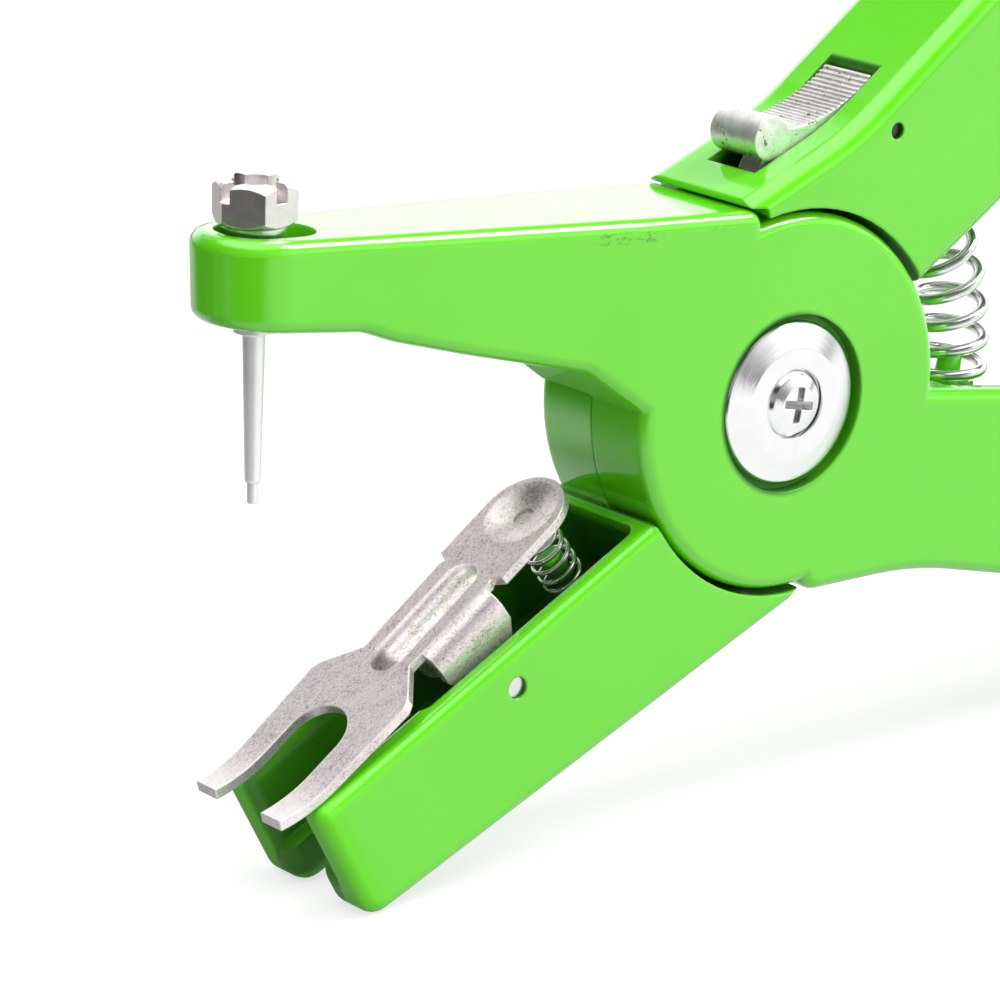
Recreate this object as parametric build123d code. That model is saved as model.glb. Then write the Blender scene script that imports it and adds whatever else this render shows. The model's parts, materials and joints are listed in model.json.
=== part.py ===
from build123d import *
from math import acos, atan2, cos, degrees, hypot, pi, radians, sin, tan
import os

# Sizes are millimetres. X runs from the jaws to the handles, Y from the front
# face of the tool to its rear face, and Z is up. While the pieces are made the
# main pivot axis lies on the Y axis. All pieces are shifted at the end, so that
# the middle of the footprint on the floor becomes the origin.

# Main castings
casting_width = 22.0
hub_radius = 25.35
hub_gap = 0.75
hub_face_gap = 0.2
edge_round = 1.7
handle_round = 2.8
beak_round = 0.55
beak_tip = (-9.3, 27.37)
beak_bed = (10.4, 35.0)
beak_under = (-4.9, 27.0)
wall = 3.2

# Upper jaw, which carries the needle
jaw_top_x = -5.3
jaw_top_z = 26.74
jaw_top_slope = 5.13
nose_radius = 8.0
taper_start_x = -25.6
ledge_z = 3.2
ledge_slope = 8.2

# Lower jaw, which carries the tag clip
cheek_x = -26.0
cheek_z = -13.9
cheek_slope = 27.0
lower_jaw_length = 57.7
lower_jaw_bottom_slope = 22.7
channel_depth = 11.4
channel_start = -1.8
channel_end = 37.2
channel_half_width = 8.3
channel_corner = 1.8
tip_channel_half_width = 5.8
slot_half_width = 3.2
slot_length = 19.0
prong_round = 2.3

# Handles
handle_end_x = 134.0
lower_handle_end_height = 19.0
upper_handle_end_x = 126.0
upper_handle_end_z = 101.0
upper_handle_end_height = 19.0

# Pivot
pivot_bore_radius = 6.0
pivot_fit = 0.05
disc_radius = 11.0
disc_thickness = 2.4
disc_recess_radius = 12.0
disc_recess_depth = 2.1
screw_radius = 3.0
screw_head_radius = 4.5
washer_thickness = 0.8

# Needle and its nut
needle_x = -78.0
needle_z = 33.3
needle_lean = 1.68
needle_reach = 34.5
needle_tip_radius = 0.71
needle_tip_length = 2.7
needle_root_radius = 1.43
needle_end_radius = 1.02
needle_shank_radius = 2.0
needle_flange_radius = 2.6
pocket_radius = 5.1
pocket_stretch = 3.0
pocket_depth = 7.0
collar_radius = 4.1
nut_across_flats = 9.5
nut_height = 5.2
nut_lift = 1.1

# Tag clip, a folded sheet that rocks on a pin between the cheeks
clip_hole_x = -36.9
clip_hole_z = -10.5
clip_slope = 34.8
clip_sheet = 1.3
clip_hole_along = 31.0
clip_bead_start = 2.2
clip_bead_end = 21.4
clip_bead_half_width = 2.8
clip_bead_height = 1.15
clip_dish_radius = 5.4
clip_dish_depth = 0.9
clip_tail_end = 6.2
clip_tine_length = 23.0
clip_tine_half_width = 9.4
clip_shoulder_half_width = 9.9
clip_waist_half_width = 5.2
clip_tail_half_width = 6.5
clip_fork_half_width = 4.95
clip_fork_depth = 4.7
clip_bend_start = -14.5
clip_bend_radius = 22.0
clip_flange_from = 6.8
clip_flange_to = 18.9
clip_flange_outside = 7.0
clip_flange_bend = 3.0
clip_flange_below_pin = 3.2
clip_pin_x = -45.95
clip_pin_z = -29.55
clip_pin_radius = 1.45
clip_pin_recess = 0.6
clip_peg_radius = 1.8
clip_peg_gap = 5.6
clip_spring_radius = 2.8
clip_spring_wire = 0.65
clip_spring_turns = 6.0

# Latch lever in the window of the upper handle
latch_pin_x = 17.35
latch_pin_z = 34.16
latch_pin_radius = 1.1
latch_pin_recess = 0.7
window_half_width = 4.8
window_low_x = -2.0
window_high_x = 19.4
latch_half_width = 4.5
latch_head_x = 1.2
latch_head_z = 34.2
latch_head_radius = 3.0
latch_ridges = 19
hook_front_y = -4.4
hook_rear_y = -0.6
lock_notch_radius = 22.3

# Return spring between the handles
spring_arc_radius = 38.0
spring_start_angle = -11.5
spring_end_angle = 41.0
spring_radius = 4.75
spring_wire = 1.6
spring_turns = 8.0
post_radius = 1.8
post_length = 5.6
spring_seat_radius = 5.9

# Small gaps between pieces that lie against each other
seat_gap = 0.1
running_gap = 0.3

half_width = casting_width / 2
bore_radius = hub_radius + hub_gap
front_hub_y = -hub_face_gap / 2
rear_hub_y = hub_face_gap / 2
far = 400.0


def side_face(corners):
    """Flat outline in the side view from (x, z, corner radius) triples."""
    points = [Vector(x, z) for x, z, _ in corners]
    radii = [r for _, _, r in corners]
    count = len(corners)
    starts, ends, middles = [], [], []
    for i in range(count):
        here = points[i]
        back = (points[i - 1] - here).normalized()
        ahead = (points[(i + 1) % count] - here).normalized()
        if radii[i] == 0:
            starts.append(here)
            ends.append(here)
            middles.append(None)
            continue
        half_angle = radians(back.get_angle(ahead)) / 2
        run = radii[i] / tan(half_angle)
        bisector = (back + ahead).normalized()
        centre = here + bisector * (radii[i] / sin(half_angle))
        starts.append(here + back * run)
        ends.append(here + ahead * run)
        middles.append(centre - bisector * radii[i])
    edges = []
    for i in range(count):
        if middles[i] is not None:
            edges.append(ThreePointArc(starts[i], middles[i], ends[i]))
        nearest = starts[(i + 1) % count]
        if (nearest - ends[i]).length > 1e-4:
            edges.append(Line(ends[i], nearest))
    return make_face(edges)


def slab(face, y_front, y_rear):
    """Side view outline given a thickness across the tool."""
    plane = Plane((0, y_rear, 0), x_dir=(1, 0, 0), z_dir=(0, -1, 0))
    return extrude(plane * face, amount=y_rear - y_front)


def cross_rod(x, z, radius, y_front, y_rear):
    """Round rod or hole that runs across the tool."""
    return slab(Pos(x, z) * Circle(radius), y_front, y_rear)


def polar(radius, angle):
    """Point of the side view given by its distance and angle at the pivot."""
    return radius * cos(radians(angle)), radius * sin(radians(angle))


def round_side_edges(solid, radius, keep=lambda centre: True):
    """Round the edges of the front and rear faces where keep allows it."""
    edges = []
    for face in solid.faces().filter_by(Axis.Y):
        if abs(abs(face.center().Y) - half_width) < 1e-3:
            edges += [e for e in face.edges() if keep(e @ 0.5)]
    return fillet(edges, radius)


def jaw_top(x):
    """Height of the upper jaw's flat top."""
    return jaw_top_z - (x - jaw_top_x) * tan(radians(jaw_top_slope))


def upper_jaw():
    """Tapered jaw with a round nose, seen from the side and from above."""
    nose_x = needle_x - nose_radius
    hub_join_z = ledge_z - 0.3
    side = side_face([
        (nose_x - 2, jaw_top(nose_x - 2), 0),
        (jaw_top_x, jaw_top_z, 2.0),
        (jaw_top_x - 0.4, 12.0, 0),
        (-12.0, ledge_z - 1.7, 0),
        (-25.2, hub_join_z, 0),
        (-33.9, 9.7, 6.0),
        (-52.1, 14.9, 60.0),
        (-62.6, 18.2, 12.0),
        (-67.4, 20.2, 5.0),
        (nose_x - 2, 23.1, 0),
    ])
    reach = taper_start_x - needle_x
    turn = degrees(atan2(half_width, reach) + acos(nose_radius / hypot(reach, half_width)))
    cheek = nose_point(turn)
    plan = make_face([
        Line((taper_start_x, -half_width), (jaw_top_x + 2, -half_width)),
        Line((jaw_top_x + 2, -half_width), (jaw_top_x + 2, half_width)),
        Line((jaw_top_x + 2, half_width), (taper_start_x, half_width)),
        Line((taper_start_x, half_width), cheek),
        ThreePointArc(cheek, nose_point(180), nose_point(-turn)),
        Line(nose_point(-turn), (taper_start_x, -half_width)),
    ])
    jaw = slab(side, -half_width, half_width) & extrude(Pos(0, 0, -5) * plan, amount=60)
    rounded = []
    for edge in jaw.edges():
        middle = edge @ 0.5
        chord = edge @ 1 - edge @ 0
        upright = abs(chord.Z) > 0.9 * edge.length
        across = abs(chord.Y) > 0.9 * edge.length and middle.X > nose_x + 2
        buried = middle.X > -24 and middle.Z < 20
        if not upright and not across and not buried and middle.X < jaw_top_x:
            rounded.append(edge)
    return fillet(rounded, edge_round)


def nose_point(angle):
    """Point on the upper jaw's round nose in the plan view."""
    return needle_x + nose_radius * cos(radians(angle)), nose_radius * sin(radians(angle))


def needle_axis():
    """Frame on the needle's axis where it meets the jaw top, with Z along it."""
    return Location((needle_x, 0, needle_z), (0, needle_lean, 0))


def needle_pocket():
    """Stretched pocket for the nut, with the shank's hole and flange seat."""
    pocket = extrude(Pos(pocket_stretch / 2, 0) * SlotCenterToCenter(
        pocket_stretch, 2 * pocket_radius), amount=far / 10)
    pocket = Pos(0, 0, -pocket_depth) * pocket
    shank = Pos(0, 0, -20) * Cylinder(needle_shank_radius + 0.15, 40)
    seat = Pos(0, 0, -needle_seat_depth()) * Cylinder(
        needle_flange_radius + 0.2, 20, align=(Align.CENTER, Align.CENTER, Align.MAX))
    return needle_axis() * (pocket + shank + seat)


def needle_seat_depth():
    """Depth below the jaw top where the needle's flange bears upwards."""
    return pocket_depth + 2.6


def foot_z(lower_jaw_solid):
    """Height of the floor, where the lower jaw's tip touches it."""
    return lower_jaw_solid.bounding_box().min.Z


def lower_handle_face(floor_z):
    """Side view of the lower handle, which ends on the floor."""
    end_height = lower_handle_end_height
    return side_face([
        (8.0, -14.0, 0),
        (22.0, -2.2, 0),
        (26.6, -2.9, 0),
        (60.0, -8.6, 160.0),
        (handle_end_x + 3, floor_z + end_height + 4, 9.0),
        (handle_end_x + 5.0, floor_z + 3, 7.5),
        (handle_end_x - 6, floor_z, 14.0),
        (23.0, -27.4, 60.0),
        (4.0, -26.9, 3.0),
        (2.4, -25.2, 0),
        (1.0, -16.0, 0),
    ])


def lower_handle_hollow(floor_z):
    """Hollow of the lower handle, open towards the upper handle."""
    end_height = lower_handle_end_height
    return side_face([
        (30.5, 20.0, 0),
        (30.5, -25.0, 3.0),
        (handle_end_x - 8, floor_z + wall + 0.6, 8.0),
        (handle_end_x + 0.5, floor_z + end_height * 0.55, 4.0),
        (handle_end_x - 4, floor_z + end_height + 30, 0),
    ])


def rear_scoop():
    """Low stretch of the lower handle's rear wall, where the spring goes in."""
    return side_face([
        (20.0, 6.0, 0),
        (24.0, -13.6, 0),
        (30.0, -14.4, 4.0),
        (60.0, -20.0, 10.0),
        (72.0, -8.0, 8.0),
        (80.0, 6.0, 0),
    ])


def spring_seat(angle, towards):
    """Frame on the spring's arc, with Z along the arc in the given sense."""
    x, z = polar(spring_arc_radius, angle)
    direction = (-sin(radians(angle)) * towards, 0, cos(radians(angle)) * towards)
    return Plane((x, 0, z), x_dir=(0, 1, 0), z_dir=direction)


def spring_post(angle, towards):
    """Tapered post that keeps the spring's end turn in place."""
    post = Pos(0, 0, -1) * Cone(
        post_radius + 0.15, post_radius - 0.15, post_length + 1,
        align=(Align.CENTER, Align.CENTER, Align.MIN))
    return spring_seat(angle, towards) * post


def handle_rib(x_low, z_low, lean, height):
    """Thin cross rib on the web of the lower handle."""
    rib = Box(2.2, casting_width - 2 * wall + 0.4, height, align=(Align.CENTER, Align.CENTER, Align.MIN))
    return Location((x_low, 0, z_low), (0, lean, 0)) * rib


def lock_notches():
    """Two notches in the front hub for the latch's hook, with a tooth between."""
    notches = []
    for low, high in ((45.0, 69.0), (78.0, 97.0)):
        outer = bore_radius + 2
        sector = make_face([
            Line(polar(lock_notch_radius, low), polar(outer, low)),
            Line(polar(outer, low), polar(outer, (low + high) / 2)),
            Line(polar(outer, (low + high) / 2), polar(outer, high)),
            Line(polar(outer, high), polar(lock_notch_radius, high)),
            ThreePointArc(polar(lock_notch_radius, high),
                          polar(lock_notch_radius, (low + high) / 2),
                          polar(lock_notch_radius, low)),
        ])
        notches.append(slab(sector, hook_front_y - 0.5, front_hub_y + 1))
    return notches


def upper_jaw_casting(floor_z):
    """Upper jaw, front half of the hub and lower handle in one casting."""
    hub = cross_rod(0, 0, hub_radius, -half_width, front_hub_y)
    hub = fillet(hub.edges().filter_by(GeomType.CIRCLE).sort_by(Axis.Y)[0], edge_round)
    handle = slab(lower_handle_face(floor_z), -half_width, half_width)
    handle = round_side_edges(handle, edge_round)
    hollow = slab(lower_handle_hollow(floor_z), wall - half_width, half_width - wall)
    handle = handle - hollow - slab(rear_scoop(), half_width - wall - 0.5, half_width + 1)
    pillar = spring_seat(spring_start_angle, 1) * Cylinder(
        spring_seat_radius, 30, align=(Align.CENTER, Align.CENTER, Align.MAX))
    pillar = pillar & slab(lower_handle_face(floor_z), -half_width, half_width)
    slope = (floor_z + 27.4) / (handle_end_x - 6 - 23.0)
    ribs = [handle_rib(x, -27.0 + slope * (x - 23.0), degrees(-atan2(slope, 1)), 7.5)
            for x in (62.0, 84.0, 106.0)]
    rear_space = cross_rod(0, 0, bore_radius, front_hub_y, half_width + 1)
    casting = upper_jaw() + handle + pillar
    for rib in ribs:
        casting = casting + rib
    casting = casting - rear_space
    casting = casting + hub + spring_post(spring_start_angle, 1)
    casting = casting - needle_pocket()
    casting = casting - cross_rod(0, 0, pivot_bore_radius + pivot_fit, -far, 0)
    casting = casting - cross_rod(0, 0, disc_recess_radius, -far, disc_recess_depth - half_width)
    for notch in lock_notches():
        casting = casting - notch
    return casting


def cheek_frame():
    """Frame on the lower jaw's top edge, X towards the tip and Z outwards."""
    slope = radians(cheek_slope)
    return Plane((cheek_x, 0, cheek_z), x_dir=(-cos(slope), 0, -sin(slope)),
                 z_dir=(-sin(slope), 0, cos(slope)))


def cheek_point(along, below):
    """Side view point by its run along the cheek edge and depth below it."""
    slope = radians(cheek_slope)
    x = cheek_x - along * cos(slope) + below * sin(slope)
    z = cheek_z - along * sin(slope) - below * cos(slope)
    return x, z


def lower_jaw_face():
    """Side view of the lower jaw, which meets the round gap of the hub."""
    tip = cheek_point(lower_jaw_length, 0)
    hub_x, hub_z = 2.2, -26.15
    drop = radians(lower_jaw_bottom_slope)
    above = (tip[1] - hub_z) * cos(drop) - (tip[0] - hub_x) * sin(drop)
    heel = cheek_point(lower_jaw_length, above / cos(radians(cheek_slope) - drop))
    return side_face([
        (*cheek_point(-2.8, 0), 0),
        (*tip, 1.6),
        (*heel, 3.2),
        (hub_x - 1.6, hub_z - 1.6 * tan(drop) - 0.6, 1.5),
        (hub_x, hub_z, 0),
        (0.5, -18.0, 0),
        (-15.0, -6.0, 0),
    ])


def channel():
    """Open channel between the cheeks, narrower at the tip, and the tip's slot."""
    frame = cheek_frame()

    def trench(start, end, half, depth, corner):
        middle = (start + end) / 2
        outline = Pos(middle, 0) * RectangleRounded(end - start, 2 * half, corner)
        return extrude(frame * Pos(0, 0, -depth) * outline, amount=depth + 30)

    main = trench(channel_start, channel_end, channel_half_width, channel_depth, channel_corner)
    tip = trench(channel_end - 8, lower_jaw_length + 20, tip_channel_half_width, channel_depth, 1.0)
    slot = trench(lower_jaw_length - slot_length, lower_jaw_length + 20, slot_half_width, 40,
                  slot_half_width - 0.01)
    return main + tip + slot


def prong_edges(jaw):
    """Edges round the ends of the two prongs, on the side of the slot."""
    frame = cheek_frame()
    edges = []
    for face in jaw.faces():
        inward = frame.to_local_coords(face.center())
        if inward.X < lower_jaw_length - 0.01 or face.geom_type != GeomType.PLANE:
            continue
        for edge in face.edges():
            middle = frame.to_local_coords(edge @ 0.5)
            if abs(middle.Y) < tip_channel_half_width + 0.01 and middle.Z > -16:
                edges.append(edge)
    return edges


def clip_frame():
    """Frame of the clip's top face: X towards the tail, Z away from the jaw."""
    slope = radians(clip_slope)
    x = clip_hole_x - clip_hole_along * cos(slope)
    z = clip_hole_z - clip_hole_along * sin(slope)
    return Plane((x, 0, z), x_dir=(cos(slope), 0, sin(slope)), z_dir=(-sin(slope), 0, cos(slope)))


def clip_spring_floor():
    """Depth below the clip's top face at which its spring meets the channel floor."""
    slope = radians(cheek_slope)
    outward = (-sin(slope), cos(slope))
    above = (clip_hole_x - cheek_x) * outward[0] + (clip_hole_z - cheek_z) * outward[1]
    return (above + channel_depth) / cos(radians(clip_slope - cheek_slope))


def clip_peg():
    """Peg on the channel floor inside the clip's spring."""
    top = clip_peg_gap + clip_sheet
    bottom = clip_spring_floor() + 1.5
    peg = Pos(clip_hole_along, 0, -bottom) * Cone(
        clip_peg_radius + 0.15, clip_peg_radius - 0.15, bottom - top,
        align=(Align.CENTER, Align.CENTER, Align.MIN))
    return clip_frame() * peg


def upper_handle_face():
    """Side view of the upper handle, from its beak over the jaw to its end."""
    end_x, end_z = upper_handle_end_x, upper_handle_end_z
    return side_face([
        (*beak_tip, 0),
        (*beak_bed, 40.0),
        (33.0, 50.8, 160.0),
        (70.0, 76.0, 220.0),
        (end_x, end_z, 9.0),
        (end_x + 9, end_z - upper_handle_end_height, 8.0),
        (80.0, 47.5, 200.0),
        (29.5, 16.2, 60.0),
        (14.7, 7.7, 0),
        (4.0, 20.07, 0),
        (-4.4, 25.2, 0),
        (*beak_under, 0),
    ])


def beak_trim():
    """What the beak's thin tip loses to become a small round."""
    tip = Vector(*beak_tip)
    along = (Vector(*beak_bed) - tip).normalized()
    under = (Vector(*beak_under) - tip).normalized()
    half_angle = radians(along.get_angle(under)) / 2
    run = beak_round / tan(half_angle)
    middle = (along + under).normalized()
    nearest = tip + middle * (beak_round / sin(half_angle) - beak_round)
    outside = tip - middle * 3
    trim = make_face([
        ThreePointArc(tip + along * run, nearest, tip + under * run),
        Line(tip + under * run, outside + Vector(0, -3)),
        Line(outside + Vector(0, -3), outside + Vector(0, 3)),
        Line(outside + Vector(0, 3), tip + along * run),
    ])
    return slab(trim, -half_width - 1, half_width + 1)


def outer_edge(middle):
    """True for the upper handle's edges that a hand can reach."""
    return hypot(middle.X, middle.Z) > bore_radius + 0.6 and middle.X > -4


def upper_handle_hollow():
    """Hollow of the upper handle, open towards the lower handle."""
    end_x, end_z = upper_handle_end_x, upper_handle_end_z
    inner = bore_radius + wall
    outer = spring_arc_radius + spring_seat_radius + 1.6
    return side_face([
        (*polar(inner, -20), 0),
        (*polar(inner + 0.3, 10), 0),
        (*polar(inner, 28), 0),
        (*polar(inner, spring_end_angle), 1.5),
        (*polar(outer, spring_end_angle), 3.0),
        (41.0, 51.5, 4.0),
        (71.5, 72.8, 200.0),
        (end_x - 3.0, end_z - 7.2, 6.0),
        (end_x + 3.5, end_z - upper_handle_end_height + 1.5, 4.0),
        (end_x + 14, end_z - 55, 0),
    ])


def latch_cavity():
    """Window in the upper handle's top and the room under it for the latch."""
    floor = bore_radius + 1.6
    room = side_face([
        (window_low_x, 50.0, 0),
        (window_low_x, floor - 0.2, 0),
        (5.0, floor - 0.5, 0),
        (12.0, 27.6, 0),
        (21.6, 30.0, 2.0),
        (22.2, 37.0, 2.0),
        (window_high_x, 40.3, 0),
        (window_high_x, 60.0, 0),
    ])
    hook_way = side_face([
        (window_low_x, 30.0, 0),
        (window_low_x, 20.0, 0),
        (6.2, 20.0, 0),
        (6.2, 30.0, 0),
    ])
    return (slab(room, -window_half_width, window_half_width)
            + slab(hook_way, hook_front_y - 0.5, front_hub_y))


def lower_jaw_slab():
    """Lower jaw before its channel is cut."""
    jaw = slab(lower_jaw_face(), -half_width, half_width)
    return round_side_edges(jaw, edge_round)


def lower_jaw_casting():
    """Lower jaw, rear half of the hub and upper handle in one casting."""
    jaw = lower_jaw_slab() - channel()
    jaw = fillet(prong_edges(jaw), prong_round)
    jaw = jaw + (clip_peg() & slab(lower_jaw_face(), -half_width, half_width))
    handle = slab(upper_handle_face(), -half_width, half_width)
    handle = round_side_edges(handle, handle_round, outer_edge) - beak_trim()
    handle = handle - slab(upper_handle_hollow(), wall - half_width, half_width - wall)
    handle = handle + spring_post(spring_end_angle, -1)
    hub = cross_rod(0, 0, hub_radius, rear_hub_y, half_width)
    hub = fillet(hub.edges().filter_by(GeomType.CIRCLE).sort_by(Axis.Y)[-1], edge_round)
    front_space = cross_rod(0, 0, bore_radius, -half_width - 1, rear_hub_y)
    casting = jaw + handle - front_space + hub
    casting = casting - latch_cavity()
    casting = casting - cross_rod(0, 0, pivot_bore_radius + pivot_fit, 0, far)
    casting = casting - cross_rod(0, 0, disc_recess_radius, half_width - disc_recess_depth, far)
    casting = casting - cross_rod(clip_pin_x, clip_pin_z, clip_pin_radius + 0.02, -far, far)
    casting = casting - cross_rod(latch_pin_x, latch_pin_z, latch_pin_radius + 0.02, -far, far)
    return casting


def turned_y(points):
    """Turned piece on the pivot axis from (radius, y) points."""
    face = make_face(Polyline(*[(r, y) for r, y in points], close=True))
    return revolve(face, Axis.Y)


def pivot_disc(side):
    """Round cover disc with a wide bevel, at the front (-1) or the rear (1)."""
    inner = half_width - disc_recess_depth
    outer = inner + disc_thickness
    if side > 0:
        inner = inner + seat_gap
        outer = outer + seat_gap
    hole = screw_radius + 0.2
    head_recess = screw_head_radius + 0.25
    profile = [
        (hole, side * inner), (disc_radius, side * inner),
        (disc_radius, side * (outer - 1.3)), (disc_radius - 0.3, side * (outer - 1.0)),
        (7.5, side * outer), (head_recess, side * outer),
        (head_recess, side * (outer - 1.2)), (hole, side * (outer - 1.2)),
    ]
    return turned_y(profile)


def pivot_bushing():
    """Steel sleeve on which the two castings turn."""
    reach = half_width - disc_recess_depth
    return turned_y([(screw_radius + 0.1, -reach), (pivot_bore_radius, -reach),
                     (pivot_bore_radius, reach), (screw_radius + 0.1, reach)])


def pivot_screw():
    """Pan head screw with a cross recess in the middle of the front disc."""
    face_y = -(half_width - disc_recess_depth + disc_thickness)
    under = face_y + 1.2
    end_y = washer_start() + washer_thickness + 4.2
    head = turned_y([
        (0, face_y - 0.9), (2.6, face_y - 0.75), (3.9, face_y - 0.2), (screw_head_radius, face_y + 0.5),
        (screw_head_radius, under), (screw_radius, under), (screw_radius, end_y - 0.5),
        (screw_radius - 0.5, end_y), (0, end_y),
    ])
    recess = Pos(0, face_y + 0.6, 0) * (Box(4.8, 3.4, 1.1) + Box(1.1, 3.4, 4.8))
    return head - (Rot(0, 12, 0) * recess)


def washer_start():
    """Place across the tool where the spring washer meets the rear disc."""
    return half_width - disc_recess_depth + disc_thickness + seat_gap - 1.2


def pivot_spring_washer():
    """Split spring washer between the rear disc and the nut."""
    start = washer_start()
    ring = turned_y([(screw_radius + 0.1, start), (4.45, start), (4.45, start + washer_thickness),
                     (screw_radius + 0.1, start + washer_thickness)])
    split = Pos(4, start, 0) * Rot(35, 0, 0) * Box(6, 4, 0.5)
    return ring - split


def pivot_nut():
    """Hexagon nut on the rear end of the screw."""
    start = washer_start() + washer_thickness
    plane = Plane((0, start, 0), x_dir=(1, 0, 0), z_dir=(0, 1, 0))
    nut = extrude(plane * RegularPolygon(4.5, 6, major_radius=True), amount=3.6)
    nut = nut & turned_y([(0, start), (4.1, start), (4.7, start + 0.5), (4.7, start + 3.1),
                          (4.1, start + 3.6), (0, start + 3.6)])
    return nut - cross_rod(0, 0, screw_radius + 0.02, start - 1, start + 5)


def turned_z(points):
    """Turned piece on the Z axis from (radius, z) points."""
    face = make_face(Polyline(*[(r, 0, z) for r, z in points], close=True))
    return revolve(face, Axis.Z)


def needle():
    """Tapered needle with a flange inside the jaw and a threaded stem on top."""
    seat = -needle_seat_depth() - 0.02
    stem_top = nut_lift + nut_height - 1.6
    stem = 1.7
    profile = [
        (0, -needle_reach), (needle_tip_radius - 0.1, -needle_reach),
        (needle_tip_radius, -needle_reach + 0.15), (needle_tip_radius, -needle_reach + needle_tip_length),
        (needle_end_radius - 0.12, -needle_reach + needle_tip_length),
        (needle_end_radius, -needle_reach + needle_tip_length + 0.3),
        (needle_root_radius, seat - 3.4), (needle_flange_radius, seat - 3.0), (needle_flange_radius, seat),
        (needle_shank_radius, seat), (needle_shank_radius, -pocket_depth - 0.05),
        (stem, -pocket_depth - 0.05), (stem, stem_top - 0.4), (stem - 0.4, stem_top), (0, stem_top),
    ]
    return needle_axis() * turned_z(profile)


def needle_collar():
    """Sleeve that stands in the pocket and carries the nut."""
    bottom = -pocket_depth
    top = nut_lift
    profile = [
        (1.75, bottom), (collar_radius + 0.5, bottom), (collar_radius + 0.5, bottom + 1.2),
        (collar_radius, bottom + 1.2), (collar_radius, top - 0.3), (collar_radius - 0.3, top), (1.75, top),
    ]
    return needle_axis() * turned_z(profile)


def needle_nut():
    """Castellated hexagon nut with two crossing slots."""
    corner = nut_across_flats / 2 / cos(radians(30))
    blank = extrude(Rot(0, 0, 8) * RegularPolygon(corner, 6, major_radius=True), amount=nut_height)
    turned = turned_z([(0, 0), (nut_across_flats / 2, 0), (corner + 0.1, 0.8), (corner + 0.1, nut_height - 1.0),
                       (nut_across_flats / 2 - 0.3, nut_height), (0, nut_height)])
    nut = blank & turned
    nut = nut - Pos(0, 0, nut_height) * Cylinder(2.9, 3.0)
    nut = nut - Cylinder(1.72, 30)
    for angle in (8, 98):
        nut = nut - Rot(0, 0, angle) * (Pos(0, 0, nut_height) * Box(20, 1.7, 4.4))
    return needle_axis() * (Pos(0, 0, nut_lift) * nut)


def clip_plan():
    """Flat outline of the clip with its fork, shoulders, waist and tail."""
    tail = clip_hole_along + clip_tail_end
    tail_start = tail - clip_tail_half_width
    right = [
        (-clip_tine_length - 2, clip_tine_half_width - 0.4), (-1.0, clip_shoulder_half_width),
        (0.3, clip_shoulder_half_width - 0.7), (4.6, clip_waist_half_width - 0.4),
        (19.8, clip_waist_half_width), (20.4, clip_waist_half_width - 0.4), (21.2, clip_tail_half_width),
        (tail_start, clip_tail_half_width),
    ]
    left = [(s, -t) for s, t in reversed(right)]
    edges = [Line(right[i], right[i + 1]) for i in range(len(right) - 1)]
    edges.append(ThreePointArc(right[-1], (tail, 0), left[0]))
    edges += [Line(left[i], left[i + 1]) for i in range(len(left) - 1)]
    edges.append(Line(left[-1], right[0]))
    outline = make_face(edges)
    fork_end = -clip_fork_depth - clip_fork_half_width
    fork = Pos(fork_end - 20, 0) * Rectangle(40, 2 * clip_fork_half_width) + Pos(fork_end, 0) * Circle(
        clip_fork_half_width)
    return outline - fork


def clip_sheet_side():
    """Side view of the sheet: flat, with the tines' ends bent up."""
    tail = clip_hole_along + clip_tail_end + 2
    centre = (clip_bend_start, clip_bend_radius)
    turn = degrees((clip_tine_length + clip_bend_start) / clip_bend_radius)

    def on_bend(radius, angle):
        return centre[0] - radius * sin(radians(angle)), centre[1] - radius * cos(radians(angle))

    outer = clip_bend_radius + clip_sheet
    return make_face([
        Line((tail, 0), (tail, -clip_sheet)),
        Line((tail, -clip_sheet), (clip_bend_start, -clip_sheet)),
        ThreePointArc((clip_bend_start, -clip_sheet), on_bend(outer, turn / 2), on_bend(outer, turn)),
        Line(on_bend(outer, turn), on_bend(clip_bend_radius, turn)),
        ThreePointArc(on_bend(clip_bend_radius, turn), on_bend(clip_bend_radius, turn / 2), (clip_bend_start, 0)),
        Line((clip_bend_start, 0), (tail, 0)),
    ])


def clip_flange(side):
    """Side flange bent down from the waist to hold the pin."""
    outside = clip_flange_outside
    bend = clip_flange_bend
    root = outside - bend
    inner = bend - clip_sheet
    pin_run, pin_depth = clip_pin_place()
    bottom = -pin_depth - clip_flange_below_pin
    section = make_face([
        Line((root - 1, 0), (root, 0)),
        ThreePointArc((root, 0), (root + bend * sin(pi / 4), -bend * (1 - cos(pi / 4))), (outside, -bend)),
        Line((outside, -bend), (outside, bottom)),
        Line((outside, bottom), (outside - clip_sheet, bottom)),
        Line((outside - clip_sheet, bottom), (outside - clip_sheet, -bend)),
        ThreePointArc((outside - clip_sheet, -bend),
                      (root + inner * sin(pi / 4), -clip_sheet - inner * (1 - cos(pi / 4))),
                      (root, -clip_sheet)),
        Line((root, -clip_sheet), (root - 1, -clip_sheet)),
        Line((root - 1, -clip_sheet), (root - 1, 0)),
    ])
    plane = Plane((clip_flange_from, 0, 0), x_dir=(0, side, 0), z_dir=(side, 0, 0))
    flange = extrude(plane * section, amount=side * (clip_flange_to - clip_flange_from))
    lobe = clip_flange_below_pin
    side_view = make_face([
        Line((clip_flange_from, 1), (clip_flange_to, 1)),
        Line((clip_flange_to, 1), (clip_flange_to, -bend - 2)),
        Line((clip_flange_to, -bend - 2), (pin_run + lobe, -pin_depth)),
        ThreePointArc((pin_run + lobe, -pin_depth), (pin_run, -pin_depth - lobe), (pin_run - lobe, -pin_depth)),
        Line((pin_run - lobe, -pin_depth), (clip_flange_from, -bend - 2)),
        Line((clip_flange_from, -bend - 2), (clip_flange_from, 1)),
    ])
    return flange & slab(side_view, -half_width, half_width)


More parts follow.
